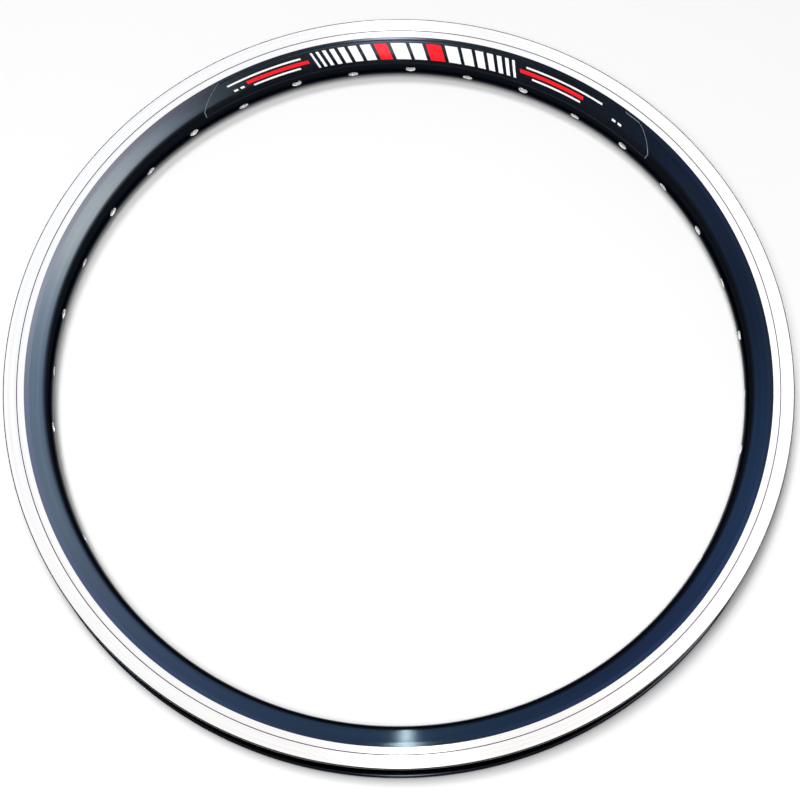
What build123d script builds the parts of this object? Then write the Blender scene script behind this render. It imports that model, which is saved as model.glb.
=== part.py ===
from build123d import *
from math import atan2, cos, degrees, radians, sin, tan
import os

os.makedirs("parts", exist_ok=True)

# Bicycle rim for 20 x 1.75 tyres: a hollow double-wall aluminium hoop that lies on its side.
# Millimetres. The origin is the wheel centre on the rim's mid plane, and +Z is the wheel axis.

# Tyre side of the section
bead_seat_diameter = 406.0
flange_height = 6.5
outer_width = 30.0
flange_wall = 2.0
lip_thickness = 3.0
hook_height = 2.8
hook_ramp = 0.9
seat_width = 4.0
well_depth = 3.6
well_width = 9.6

# Brake track and wear groove, on both sides
track_height = 11.1
groove_from_edge = 7.3
groove_width = 0.4
groove_depth = 0.3

# Hub side of the section
section_height = 24.1
shoulder_height = 2.5
shoulder_drop = 0.55
sidewall_slope = 30.0
crown_radius = 20.0

# Walls around the chamber
bridge_thickness = 1.3
side_thickness = 1.8
spoke_bed_thickness = 2.0

# Rounds of the section
well_round = 2.5
seat_edge_round = 1.5
seat_corner_round = 0.8
hook_round = 0.5
lip_inner_round = 1.2
lip_outer_round = 0.3
shoulder_round = 1.0
bed_corner_round = 8.0
chamber_round = 1.2

# Spoke holes: two rows, one on each side of the mid plane
spokes_per_row = 18
spoke_hole_diameter = 4.5
spoke_hole_deburr = 0.35
spoke_row_offset = 1.5
first_spoke_angle = 86.7
access_hole_diameter = 9.0

# How far above the bed each drill and its deburring cone start
drill_start = 0.5

# Valve hole, across from the film and midway between two spoke holes
valve_hole_diameter = 8.5
valve_hole_deburr = 0.8
valve_gap_from_first_spoke = 18

# Printed film on the upper sidewall
film_thickness = 0.15
film_adhesive = 0.2
film_below_track = 1.3
film_foot_z = 6.5
film_mid_angle = 82.8
film_outer_half_span = 36.4
film_inner_half_span = 40.9
film_end_radius = 36.0
film_end_height = 8.8

# Radii and heights that follow from the sizes above
seat_radius = bead_seat_diameter / 2
rim_radius = seat_radius + flange_height
well_radius = seat_radius - well_depth
bed_radius = rim_radius - section_height
track_radius = rim_radius - track_height
side_z = outer_width / 2
lip_z = side_z - lip_thickness
wall_z = side_z - flange_wall
seat_z = wall_z - seat_width
well_z = well_width / 2
shoulder = Vector(track_radius - shoulder_height, side_z - shoulder_drop)
crown_centre = Vector(bed_radius + crown_radius, 0)
wall_run = Vector(-cos(radians(sidewall_slope)), -sin(radians(sidewall_slope)))

# The chamber keeps each wall's thickness, measured square to that wall
ceiling_radius = well_radius - bridge_thickness
chamber_z = side_z - side_thickness
well_slope = degrees(atan2(well_depth, seat_z - well_z))
ceiling_shift = bridge_thickness * tan(radians(well_slope / 2))
chamber_shoulder = shoulder + Vector(-wall_run.Y, wall_run.X) * side_thickness
chamber_turn = chamber_shoulder + wall_run * ((chamber_shoulder.Y - chamber_z) / -wall_run.Y)

with BuildPart() as rim_hoop:
    # Half of the outer section, from the well floor over the hooked flange to the spoke bed
    with BuildSketch(Plane.XZ) as section:
        with BuildLine():
            crown = CenterArc(crown_centre, crown_radius, 180, -90, mode=Mode.PRIVATE)
            wall = IntersectingLine(shoulder, wall_run, crown, mode=Mode.PRIVATE)
            FilletPolyline(
                (well_radius, 0),
                (well_radius, well_z),
                (seat_radius, seat_z),
                (seat_radius, wall_z),
                (rim_radius - hook_height - hook_ramp, wall_z),
                (rim_radius - hook_height, lip_z),
                (rim_radius, lip_z),
                (rim_radius, side_z),
                (track_radius, side_z),
                shoulder,
                wall @ 1,
                radius=[
                    well_round,
                    seat_edge_round,
                    seat_corner_round,
                    hook_round,
                    hook_round,
                    lip_inner_round,
                    lip_outer_round,
                    0,
                    shoulder_round,
                ],
            )
            RadiusArc(wall @ 1, (bed_radius, 0), -crown_radius)
            Line((bed_radius, 0), (well_radius, 0))
        make_face()
        fillet(section.vertices().sort_by_distance(wall @ 1)[0], bed_corner_round)
        mirror(about=Plane.XZ)
    revolve(axis=Axis.Z)

    # The closed chamber between the spoke bed and the tyre well
    with BuildSketch(Plane.XZ) as chamber:
        with BuildLine():
            floor = CenterArc(
                crown_centre, crown_radius - spoke_bed_thickness, 180, -90, mode=Mode.PRIVATE
            )
            inside = IntersectingLine(chamber_turn, wall_run, floor, mode=Mode.PRIVATE)
            FilletPolyline(
                (ceiling_radius, 0),
                (ceiling_radius, well_z + ceiling_shift),
                (seat_radius - bridge_thickness, seat_z + ceiling_shift),
                (seat_radius - bridge_thickness, chamber_z),
                chamber_turn,
                inside @ 1,
                radius=[well_round, chamber_round, chamber_round, chamber_round],
            )
            RadiusArc(inside @ 1, (bed_radius + spoke_bed_thickness, 0), spoke_bed_thickness - crown_radius)
            Line((bed_radius + spoke_bed_thickness, 0), (ceiling_radius, 0))
        make_face()
        fillet(chamber.vertices().sort_by_distance(inside @ 1)[0], chamber_round)
        mirror(about=Plane.XZ)
    revolve(axis=Axis.Z, mode=Mode.SUBTRACT)

    # Wear groove in each brake track
    with BuildSketch(Plane.XZ) as groove:
        with Locations((rim_radius - groove_from_edge, side_z), (rim_radius - groove_from_edge, -side_z)):
            Rectangle(groove_width, 2 * groove_depth)
    revolve(axis=Axis.Z, mode=Mode.SUBTRACT)

    # Spoke holes stand square to the crowned bed, so each row leans to its own side of the hub.
    # The wider access hole in the tyre well is on the same line.
    spoke_step = 360 / (2 * spokes_per_row)
    for row, side in enumerate((1, -1)):
        lean = side * spoke_row_offset / crown_radius
        to_hub = Vector(-((1 - lean**2) ** 0.5), 0, lean)
        on_bed = Vector(crown_centre.X, 0, 0) + to_hub * crown_radius
        bed_plane = Plane(on_bed, x_dir=(0, 1, 0), z_dir=to_hub)
        drill_plane = bed_plane.offset(drill_start)
        bridge_plane = bed_plane.offset(bed_radius - well_radius)
        with PolarLocations(0, spokes_per_row, start_angle=first_spoke_angle - row * spoke_step):
            with Locations(drill_plane):
                CounterSinkHole(
                    spoke_hole_diameter / 2,
                    spoke_hole_diameter / 2 + spoke_hole_deburr + drill_start,
                    depth=2 * spoke_bed_thickness + drill_start,
                    counter_sink_angle=90,
                )
            with Locations(bridge_plane):
                Hole(access_hole_diameter / 2, depth=well_depth)

    # Valve hole through both walls
    valve_angle = first_spoke_angle - (valve_gap_from_first_spoke - 0.5) * spoke_step
    valve_plane = Plane((bed_radius - drill_start, 0, 0), x_dir=(0, 1, 1), z_dir=(-1, 0, 0))
    with PolarLocations(0, 1, start_angle=valve_angle):
        with Locations(valve_plane):
            CounterSinkHole(
                valve_hole_diameter / 2,
                valve_hole_diameter / 2 + valve_hole_deburr + drill_start,
                depth=seat_radius - bed_radius + drill_start,
                counter_sink_angle=90,
            )

rim_hoop.part.label = "rim_hoop"
export_step(rim_hoop.part, "parts/rim_hoop.step")

with BuildPart() as decal_film:
    # A thin band that follows the outside of the upper sidewall, over the corner and onto the spoke bed
    film_radius = track_radius - film_below_track
    with BuildSketch(Plane.XZ) as band:
        with Locations((film_radius, film_foot_z)):
            Rectangle(section_height, outer_width, align=(Align.MAX, Align.MIN))
        offset(section.sketch_local, amount=film_adhesive + film_thickness, mode=Mode.INTERSECT)
        offset(section.sketch_local, amount=film_adhesive, mode=Mode.SUBTRACT)
    revolve(axis=Axis.Z)

    # Its outline seen along the axis: an arc of the rim with rounded ends
    with BuildSketch(Plane.XY) as outline:
        with BuildLine():
            long_edge = CenterArc(
                (0, 0),
                film_radius,
                film_mid_angle - film_outer_half_span,
                2 * film_outer_half_span,
            )
            end_edge = CenterArc(
                (0, 0),
                film_radius - film_end_height,
                film_mid_angle - film_inner_half_span,
                2 * film_inner_half_span,
                mode=Mode.PRIVATE,
            )
            short_edge = CenterArc(
                (0, 0),
                rim_radius - 2 * section_height,
                film_mid_angle - film_inner_half_span,
                2 * film_inner_half_span,
            )
            RadiusArc(long_edge @ 1, end_edge @ 1, -film_end_radius)
            RadiusArc(long_edge @ 0, end_edge @ 0, film_end_radius)
            Line(end_edge @ 1, short_edge @ 1)
            Line(end_edge @ 0, short_edge @ 0)
        make_face()
    extrude(amount=outer_width, mode=Mode.INTERSECT)

decal_film.part.label = "decal_film"
export_step(decal_film.part, "parts/decal_film.step")
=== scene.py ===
"""Bicycle rim on a pale floor: black anodised hoop, machined brake tracks, drilled holes and a printed film."""

import math

import bpy
import numpy as np
from bpy.props import FloatProperty, FloatVectorProperty, IntProperty, PointerProperty
from bpy.types import Operator, Panel, PropertyGroup
from mathutils import Matrix, Vector


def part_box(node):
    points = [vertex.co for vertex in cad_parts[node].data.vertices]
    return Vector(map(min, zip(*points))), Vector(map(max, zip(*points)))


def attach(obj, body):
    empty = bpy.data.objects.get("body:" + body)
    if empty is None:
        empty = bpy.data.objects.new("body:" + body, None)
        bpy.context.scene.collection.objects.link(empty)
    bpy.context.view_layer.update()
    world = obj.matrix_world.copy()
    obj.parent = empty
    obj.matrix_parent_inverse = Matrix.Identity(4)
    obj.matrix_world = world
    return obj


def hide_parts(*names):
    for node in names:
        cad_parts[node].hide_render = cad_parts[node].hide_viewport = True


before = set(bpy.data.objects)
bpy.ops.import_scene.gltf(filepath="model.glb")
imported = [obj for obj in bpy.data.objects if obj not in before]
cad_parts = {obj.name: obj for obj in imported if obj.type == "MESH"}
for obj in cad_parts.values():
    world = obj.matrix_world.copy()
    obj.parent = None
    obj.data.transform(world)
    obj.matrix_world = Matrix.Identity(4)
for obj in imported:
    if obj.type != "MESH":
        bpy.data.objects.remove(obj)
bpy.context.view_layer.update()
HOOP_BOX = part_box("rim_hoop")

bl_info = {
    "name": "Bicycle rim",
    "version": (1, 0, 0),
    "blender": (4, 5, 0),
    "location": "3D View > Sidebar > Rim",
    "description": "Builds a double-wall rim with machined brake tracks, drilled holes and a printed film",
    "category": "Add Mesh",
}

# how finely the hoop is divided
SECTORS = 72
SECTOR_COLUMNS = 5
BAND_ROWS = 8
CROWN_POINTS = 9
ARC_STEP = math.radians(9.0)

# half heights of the bands that the drilled holes open: spoke bed and chamber floor, chamber ceiling, tyre well
BED_BAND, CEILING_BAND, WELL_BAND = 0.0060, 0.0068, 0.0065

# rounds after which a point that slides along a hole's line has come to rest
SLIDES = 30

# the groove's floor and the shoulder lie above these, measured from the track face and from the mid plane
GROOVE_REACH, SHOULDER_ABOVE = 0.0006, 0.012

# how finely film and print are divided
FILM_ROWS, FILM_COLUMNS = 64, 181
BAR_ROWS, BAR_COLUMNS = 29, 17

# height of the film's bevelled edge as a share of its lift, and how many columns along the outer edge at the right
# end carry the edge's lighter colour, a painted highlight
BEVEL = 0.45
HIGHLIT_CORNER = 8

# edges that turn by more than this are sharp
SMOOTH_BELOW = math.radians(11.0)
SHEET_SMOOTH_BELOW = math.radians(20.0)

# what rounding may add to a place, and how finely places are told apart when borders are welded
SAME_PLACE, ON_EDGE = 1e-9, 1e-7
WELDS_PER_METRE = 1e8

# material slots of the hoop
ANODISED, MACHINED, GROOVE, DRILLED, SHOULDER = range(5)

# parts of a noise's range that finishes are spread over, and its peaks
WIDE, NARROW, PEAKS = (0.3, 0.7), (0.35, 0.65), (0.72, 0.80)

WHITE, BLACK = (1.0, 1.0, 1.0), (0.0, 0.0, 0.0)


def length(name, description, default):
    """A size in metres, shown in the scene's own unit."""
    return FloatProperty(name=name, description=description, default=default, min=0.0, precision=5,
                         subtype="DISTANCE", unit="LENGTH")


def angle(name, description, degrees):
    """An angle, given in degrees and kept in radians."""
    return FloatProperty(name=name, description=description, default=math.radians(degrees), subtype="ANGLE",
                         unit="ROTATION")


def share(name, description, default):
    """A number from 0 to 1."""
    return FloatProperty(name=name, description=description, default=default, min=0.0, max=1.0, subtype="FACTOR")


def colour(name, description, default):
    """A linear colour."""
    return FloatVectorProperty(name=name, description=description, default=default, min=0.0, max=1.0, size=3,
                               subtype="COLOR")


def power(name, description, default):
    """A lamp's power in watts."""
    return FloatProperty(name=name, description=description, default=default, min=0.0, unit="POWER")


class RimSection(PropertyGroup):
    """Sizes of the hoop's section."""

    rim_radius: length("Rim radius", "Wheel centre to the outer edge of the flange", HOOP_BOX[1].x)
    half_width: length("Half width", "Mid plane to the face of the brake track", HOOP_BOX[1].z)
    flange_height: length("Flange height", "Bead seat to the outer edge", 0.0065)
    flange_wall: length("Flange wall", "Thickness of the flange below its hook", 0.002)
    lip_thickness: length("Lip thickness", "Thickness of the flange at its hook", 0.003)
    hook_height: length("Hook height", "Outer edge to the underside of the hook", 0.0028)
    hook_ramp: length("Hook ramp", "Rise over which the hook comes out", 0.0009)
    seat_width: length("Seat width", "Width of each bead seat", 0.004)
    well_depth: length("Well depth", "Bead seat to the floor of the well", 0.0036)
    well_half: length("Well half width", "Mid plane to the corner of the well floor", 0.0048)
    track_height: length("Track height", "Radial height of the machined brake track", 0.0111)
    groove_from_edge: length("Groove from edge", "Outer edge to the middle of the wear groove", 0.0073)
    groove_width: length("Groove width", "Width of the wear groove", 0.0005)
    groove_depth: length("Groove depth", "Depth of the wear groove", 0.0003)
    section_height: length("Section height", "Outer edge to the crest of the spoke bed", 0.0241)
    shoulder_height: length("Shoulder height", "Track edge to the shoulder corner", 0.0025)
    shoulder_drop: length("Shoulder drop", "How far the shoulder corner lies below the track face", 0.0009)
    wall_slope: angle("Wall slope", "Slope of the sidewall below the shoulder", 30.0)
    crown_radius: length("Crown radius", "Radius of the crowned spoke bed", 0.020)
    bridge: length("Bridge", "Thickness of the wall under the tyre", 0.0013)
    side: length("Side", "Thickness of the sidewall", 0.0018)
    bed: length("Bed", "Thickness of the spoke bed", 0.0020)
    well_round: length("Well round", "Round at the foot of the well", 0.0025)
    seat_edge_round: length("Seat edge round", "Round where the well meets the seat", 0.0015)
    seat_corner_round: length("Seat corner round", "Round where the seat meets the flange", 0.0008)
    hook_round: length("Hook round", "Rounds of the hook's ramp", 0.0005)
    lip_inner_round: length("Lip inner round", "Round of the lip on the tyre side", 0.0012)
    lip_outer_round: length("Lip outer round", "Round of the lip on the track side", 0.0003)
    edge_line: length("Edge line", "Strip of the track face beside the lip that stays anodised", 0.00020)
    shoulder_round: length("Shoulder round", "Round of the shoulder corner", 0.0010)
    bed_corner_round: length("Bed corner round", "Round between sidewall and spoke bed", 0.0080)
    chamber_round: length("Chamber round", "Rounds inside the chamber", 0.0012)


class DrillPattern(PropertyGroup):
    """Spoke holes, access holes and valve hole."""

    spokes_per_row: IntProperty(name="Spokes per row", description="Holes on each side of the mid plane", default=18,
                                min=2, max=18)
    first_spoke: angle("First spoke", "Angle of the first upper spoke hole from +X", 86.7)
    spoke_radius: length("Spoke hole radius", "Radius of a spoke hole", 0.00225)
    spoke_deburr: length("Spoke hole deburr", "Width of the deburring cone", 0.00035)
    row_offset: length("Row offset", "Mid plane to a row of spoke holes", 0.0015)
    access_radius: length("Access hole radius", "Radius of the hole in the well over a spoke hole", 0.0045)
    valve_radius: length("Valve hole radius", "Radius of the valve hole", 0.00425)
    valve_deburr: length("Valve hole deburr", "Width of the valve hole's deburring cone", 0.0008)
    valve_sector: IntProperty(name="Valve sector", description="Half spoke steps from the first spoke to the valve",
                              default=37, min=1, max=71)


class FilmSheet(PropertyGroup):
    """The printed film on the upper sidewall."""

    lift: length("Lift", "Height of the film's face above the metal", 0.00025)
    foot: length("Foot", "Height of the film's underside above the metal", 0.00002)
    below_track: length("Below track", "Bare metal between the track and the film", 0.0013)
    foot_z: length("Foot height", "Height of the film's inner edge above the mid plane", 0.0065)
    middle: angle("Middle", "Angle of the film's middle from +X", 82.8)
    outer_half_span: angle("Outer half span", "Half the angle of the outer edge", 36.4)
    inner_half_span: angle("Inner half span", "Half the angle of the inner edge", 40.9)
    end_radius: length("End radius", "Radius of the rounded ends", 0.036)
    end_height: length("End height", "Radial height of the rounded ends", 0.0088)
    edge_width: length("Edge width", "Width of the clear edge", 0.00045)
    ink: length("Ink", "Thickness of the printed ink", 0.00003)
    bar_slant: FloatProperty(name="Bar slant", description="Lean of the printed bars, run over rise", default=0.42)


class RimFinish(PropertyGroup):
    """Colours and roughness of the finishes."""

    anodised: colour("Anodised", "Blue-black anodising", (0.0060, 0.0074, 0.0102))
    anodised_dark: colour("Anodised, worn in", "Darker streaks of the anodising", (0.0050, 0.0062, 0.0088))
    anodised_rough: share("Anodised roughness", "Roughness of the anodising", 0.11)
    # shoulder is the anodising painted 1.7 times brighter, a painted sheen for the light the shoulder strip catches
    # like the wall below it; shoulder_dark gives it random darker streaks
    shoulder: colour("Shoulder", "Anodising beside the brake track, painted brighter as a sheen", (0.0102, 0.0126, 0.0174))
    shoulder_dark: colour("Shoulder, worn in", "Darker streaks of the shoulder", (0.0087, 0.0108, 0.0150))
    machined: colour("Machined", "Turned aluminium of the brake track", (0.85, 0.84, 0.83))
    machined_dark: colour("Machined, valleys", "Turned aluminium between the tool marks", (0.79, 0.78, 0.77))
    machined_rough: share("Machined roughness", "Roughness of the brake track", 0.07)
    groove: colour("Groove", "Anodising left in the wear groove", (0.024, 0.013, 0.034))
    drilled: colour("Drilled", "Bare aluminium in the holes", (0.93, 0.93, 0.93))
    film: colour("Film", "Black ground of the film", (0.0020, 0.0024, 0.0040))
    # the film edge colour is a painted highlight: a lighter grey where the bevelled edge catches the light
    film_edge_highlight: colour("Film edge highlight", "Edge of the film, painted lighter as a highlight", (0.16, 0.18, 0.21))
    white_ink: colour("White ink", "White print", (0.92, 0.92, 0.92))
    red_ink: colour("Red ink", "Red print", (0.82, 0.012, 0.018))
    film_rough: share("Film roughness", "Roughness of the film's face", 0.16)
    film_edge_rough: share("Film edge highlight roughness", "Roughness of the film's highlighted edge", 0.22)


class RimStage(PropertyGroup):
    """Floor, lamps and camera."""

    floor: colour("Floor", "Colour of the floor", (0.93, 0.93, 0.93))
    front: power("Front lamp", "Soft lamp beside the camera", 17.2)
    front_size: length("Front lamp size", "Side of the lamp beside the camera", 0.42)
    far: power("Far lamp", "Soft lamp on the far side, a little to the left", 70.0)
    far_size: length("Far lamp size", "Side of the lamp on the far side", 0.75)
    fill_low: colour("Fill, walls", "Light of the room's walls on matt surfaces", (0.25, 0.25, 0.25))
    fill_high: colour("Fill, ceiling", "Light of the room's ceiling on matt surfaces", (0.05, 0.05, 0.05))
    # reach of the painted contact shadow: an ambient occlusion node darkens the floor's colour within this distance
    # of the rim
    painted_contact_shadow: length("Painted contact shadow", "How far a painted contact shadow darkens the floor beside what stands on it", 0.005)
    glow: share("Glow", "Share of the floor that is plain white to the eye, which thins the shadow", 0.08)
    lens: FloatProperty(name="Lens", description="Focal length", default=97.23, min=1.0, unit="CAMERA")
    distance: length("Distance", "Camera to the middle of the rim's upper face", 1.145)
    elevation: angle("Elevation", "Camera above the floor", 71.1)
    roll: angle("Roll", "Turn of the picture", 1.25)
    pan: angle("Pan", "Turn of the camera to the side", -0.03)
    tilt: angle("Tilt", "Turn of the camera up or down", -0.72)


def rounded_path(corners, rounds, step=ARC_STEP):
    """Straight runs between corners, each corner replaced by an arc that touches both runs.

    The arc starts round * tan(turn / 2) before the corner. Its centre lies one round to the side of the turn, and its
    points are the start turned about the centre by equal shares of the turn, none larger than the step. A corner with
    no round stays a point.
    """
    p = np.asarray(corners, float)
    r = np.asarray(rounds, float)
    before, after = p[1:-1] - p[:-2], p[2:] - p[1:-1]
    before = before / np.linalg.norm(before, axis=1, keepdims=True)
    after = after / np.linalg.norm(after, axis=1, keepdims=True)
    turn = np.arctan2(before[:, 0] * after[:, 1] - before[:, 1] * after[:, 0], (before * after).sum(axis=1))
    start = p[1:-1] - before * (r * np.tan(np.abs(turn) / 2))[:, None]
    side = np.sign(turn)[:, None] * np.stack([-before[:, 1], before[:, 0]], axis=1)
    centre = start + side * r[:, None]
    arm = start - centre
    counts = np.where(r > 0, np.ceil(np.abs(turn) / step).astype(int) + 1, 1)
    owner = np.repeat(np.arange(len(counts)), counts)
    place = np.arange(counts.sum()) - np.repeat(np.cumsum(counts) - counts, counts)
    swing = turn[owner] * place / np.maximum(counts[owner] - 1, 1)
    c, s = np.cos(swing), np.sin(swing)
    a = arm[owner]
    arcs = centre[owner] + np.stack([a[:, 0] * c - a[:, 1] * s, a[:, 0] * s + a[:, 1] * c], axis=1)
    path = np.concatenate([p[:1], arcs, p[-1:]])
    keep = np.r_[True, np.linalg.norm(np.diff(path, axis=0), axis=1) > SAME_PLACE]
    return path[keep]


def arc_points(centre, radius, first, last, count):
    """Points of a circle about the centre, from one angle to another in equal steps."""
    turn = np.linspace(first, last, count)
    return np.asarray(centre) + radius * np.stack([np.cos(turn), np.sin(turn)], axis=1)


def bed_run(corner, slope, centre, radius, round_radius, count):
    """The arc that rounds the sloping wall from a corner into the crown, and the crown from there to the mid plane.

    The rounding circle touches the wall line and lies inside the crown's circle, so its centre is one round from the
    wall and the crown's radius less the round from the crown's centre.
    """
    run = np.array([-math.cos(slope), -math.sin(slope)])
    inward = np.array([math.sin(slope), -math.cos(slope)])
    base = np.asarray(corner) + inward * round_radius
    from_centre = base - np.asarray(centre)
    b = from_centre @ run
    c = from_centre @ from_centre - (radius - round_radius) ** 2
    middle = base + run * (-b + math.sqrt(b * b - c))
    first = math.atan2(-inward[1], -inward[0])
    last = math.atan2(*(middle - np.asarray(centre))[::-1])
    rounding = arc_points(middle, round_radius, first, last, count)
    return np.concatenate([rounding, arc_points(centre, radius, last, math.pi, CROWN_POINTS)[1:]])


class Section:
    """The hoop's outer and inner section above the mid plane, as points of radius and height."""

    def __init__(self, s):
        self.rim, self.side_z = s.rim_radius, s.half_width
        self.seat = s.rim_radius - s.flange_height
        self.well = self.seat - s.well_depth
        self.bed = s.rim_radius - s.section_height
        self.track = s.rim_radius - s.track_height
        self.face_end = s.rim_radius - s.lip_outer_round - s.edge_line
        self.crown, self.crown_radius, self.bed_wall = self.bed + s.crown_radius, s.crown_radius, s.bed
        wall_z = s.half_width - s.flange_wall
        lip_z = s.half_width - s.lip_thickness
        seat_z = wall_z - s.seat_width
        groove_out = s.rim_radius - s.groove_from_edge + s.groove_width / 2
        groove_in = groove_out - s.groove_width
        self.groove_in, self.groove_out = groove_in, groove_out
        groove_z = s.half_width - s.groove_depth
        shoulder = np.array([self.track - s.shoulder_height, s.half_width - s.shoulder_drop])
        self.shoulder = shoulder[0]
        bed = bed_run(shoulder, s.wall_slope, (self.crown, 0.0), s.crown_radius, s.bed_corner_round, 8)
        upper = rounded_path(
            [(self.well, 0.0), (self.well, s.well_half), (self.seat, seat_z), (self.seat, wall_z),
             (self.rim - s.hook_height - s.hook_ramp, wall_z), (self.rim - s.hook_height, lip_z),
             (self.rim, lip_z), (self.rim, self.side_z), (self.face_end, self.side_z),
             (groove_out, self.side_z), (groove_out, groove_z), (groove_in, groove_z), (groove_in, self.side_z),
             (self.track, self.side_z), tuple(shoulder), tuple(bed[0])],
            [s.well_round, s.seat_edge_round, s.seat_corner_round, s.hook_round, s.hook_round, s.lip_inner_round,
             s.lip_outer_round, 0, 0, 0, 0, 0, 0, s.shoulder_round])
        self.outer = np.concatenate([upper, bed[1:]])

        ceiling = self.well - s.bridge
        chamber_z = s.half_width - s.side
        shift = s.bridge * math.tan(math.atan2(s.well_depth, seat_z - s.well_half) / 2)
        run = np.array([-math.cos(s.wall_slope), -math.sin(s.wall_slope)])
        inner_shoulder = shoulder + np.array([-run[1], run[0]]) * s.side
        inner_turn = inner_shoulder + run * ((inner_shoulder[1] - chamber_z) / -run[1])
        floor = bed_run(inner_turn, s.wall_slope, (self.crown, 0.0), s.crown_radius - s.bed, s.chamber_round, 5)
        inside = rounded_path(
            [(ceiling, 0.0), (ceiling, s.well_half + shift), (self.seat - s.bridge, seat_z + shift),
             (self.seat - s.bridge, chamber_z), tuple(inner_turn), tuple(floor[0])],
            [s.well_round, s.chamber_round, s.chamber_round, s.chamber_round], step=2 * ARC_STEP)
        self.inner = np.concatenate([inside, floor[1:]])

    @staticmethod
    def first_rise(path):
        """The part of a section along which the height first grows, from the mid plane outwards."""
        return path[: int(np.argmax(np.diff(path[:, 1]) <= 0)) + 1]

    def well_at(self, z):
        """Radius of the tyre well at a height."""
        rise = self.first_rise(self.outer)
        return np.interp(np.abs(z), rise[:, 1], rise[:, 0])

    def ceiling_at(self, z):
        """Radius of the chamber's ceiling at a height."""
        rise = self.first_rise(self.inner)
        return np.interp(np.abs(z), rise[:, 1], rise[:, 0])

    def crown_at(self, z):
        """Radius of the crowned spoke bed at a height: the crown's centre less the rest of its circle."""
        return self.crown - np.sqrt(self.crown_radius**2 - np.square(z))

    def floor_at(self, z):
        """Radius of the chamber's floor at a height, one bed thickness inside the crown."""
        return self.crown - np.sqrt((self.crown_radius - self.bed_wall) ** 2 - np.square(z))

    @staticmethod
    def between(path, tyre_at, tyre_z, hub_at, hub_z):
        """The section from a height on its tyre side to a height on its hub side, ends included."""
        start = int(np.argmax(path[:, 1] > tyre_z + SAME_PLACE))
        stop = len(path) - int(np.argmax(path[::-1, 1] > hub_z + SAME_PLACE))
        ends = np.array([[float(tyre_at(tyre_z)), tyre_z], [float(hub_at(hub_z)), hub_z]])
        return np.concatenate([ends[:1], path[start:stop], ends[1:]])


class Blocks:
    """Surface grids gathered into one mesh, welded where their borders meet."""

    def __init__(self):
        self.points, self.quads, self.slots, self.total = [], [], [], 0

    def add(self, grid, slot=0, flip=False):
        """Takes grids of points (copies, n, m, 3). A slot is one number, or one for each step along m."""
        grid = np.asarray(grid, float)
        if grid.ndim == 3:
            grid = grid[None]
        copies, n, m, _ = grid.shape
        index = np.arange(copies * n * m).reshape(copies, n, m) + self.total
        quad = np.stack([index[:, :-1, :-1], index[:, 1:, :-1], index[:, 1:, 1:], index[:, :-1, 1:]], axis=-1)
        if flip:
            quad = quad[..., ::-1]
        self.points.append(grid.reshape(-1, 3))
        self.quads.append(quad.reshape(-1, 4))
        self.slots.append(np.broadcast_to(slot, quad.shape[:-1]).reshape(-1))
        self.total += copies * n * m

    def mesh(self, name, smooth_below=SMOOTH_BELOW):
        """Welds points that share a place to a hundredth of a micrometre, and puts the arrays into a mesh."""
        points, quads = np.concatenate(self.points), np.concatenate(self.quads)
        _, first, back = np.unique(np.round(points * WELDS_PER_METRE).astype(np.int64), axis=0, return_index=True,
                                   return_inverse=True)
        back = back.reshape(-1)
        points, quads = points[first], back[quads]
        mesh = bpy.data.meshes.new(name)
        mesh.vertices.add(len(points))
        mesh.vertices.foreach_set("co", points.astype(np.float32).ravel())
        mesh.loops.add(quads.size)
        mesh.loops.foreach_set("vertex_index", quads.astype(np.int32).ravel())
        mesh.polygons.add(len(quads))
        mesh.polygons.foreach_set("loop_start", np.arange(0, quads.size, 4, dtype=np.int32))
        mesh.polygons.foreach_set("material_index", np.concatenate(self.slots).astype(np.int32))
        mesh.polygons.foreach_set("use_smooth", np.ones(len(quads), dtype=bool))
        mesh.update(calc_edges=True)
        if mesh.validate():
            raise RuntimeError(f"{name}: the mesh had faults")
        mesh.set_sharp_from_angle(angle=smooth_below)
        return mesh


def spun(section, turns):
    """A section carried round the axis: the point (r cos a, r sin a, z) for each angle a and section point (r, z)."""
    r, z = section[:, 0], section[:, 1]
    height = np.broadcast_to(z, (len(turns), len(z)))
    return np.stack([np.cos(turns)[:, None] * r, np.sin(turns)[:, None] * r, height], axis=-1)


def turned(points, turns):
    """Copies of points, each turned about the axis by one of the angles."""
    c, s = np.cos(turns), np.sin(turns)
    turns_by = np.zeros((len(turns), 3, 3))
    turns_by[:, 0, 0], turns_by[:, 0, 1], turns_by[:, 1, 0], turns_by[:, 1, 1], turns_by[:, 2, 2] = c, -s, s, c, 1.0
    return np.einsum("kij,...j->k...i", turns_by, points)


class Drill:
    """A round hole square to the crowned bed, at a row's offset from the mid plane, in the sector about angle 0."""

    def __init__(self, section, offset):
        lean = offset / section.crown_radius
        upright = math.sqrt(1 - lean * lean)
        self.to_hub = np.array([-upright, 0.0, lean])
        self.along = np.array([0.0, 1.0, 0.0])
        self.across = np.array([lean, 0.0, upright])
        self.start = np.array([section.crown, 0.0, 0.0]) + self.to_hub * section.crown_radius

    def ring(self, around, radius, depth):
        """Points at a radius from the hole's line and a height along it towards the hub."""
        flat = np.cos(around)[:, None] * self.along + np.sin(around)[:, None] * self.across
        radius, depth = (np.broadcast_to(x, around.shape)[:, None] for x in (radius, depth))
        return self.start + radius * flat + depth * self.to_hub

    def meets(self, radius_at, around, bore, cone=0.0):
        """Where the hole's wall, widened by a 45 degree cone at its mouth, meets a surface of radius over height.

        Each point slides along the hole's line by the difference between its own radius and the surface's, and takes
        the cone's radius there, until it rests.
        """
        depth = np.zeros_like(around)
        for _ in range(SLIDES):
            width = bore + (np.maximum(cone + depth, 0.0) if cone else 0.0)
            p = self.ring(around, width, depth)
            depth = depth + np.hypot(p[:, 0], p[:, 1]) - radius_at(p[:, 2])
        return self.ring(around, width, depth)


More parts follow.
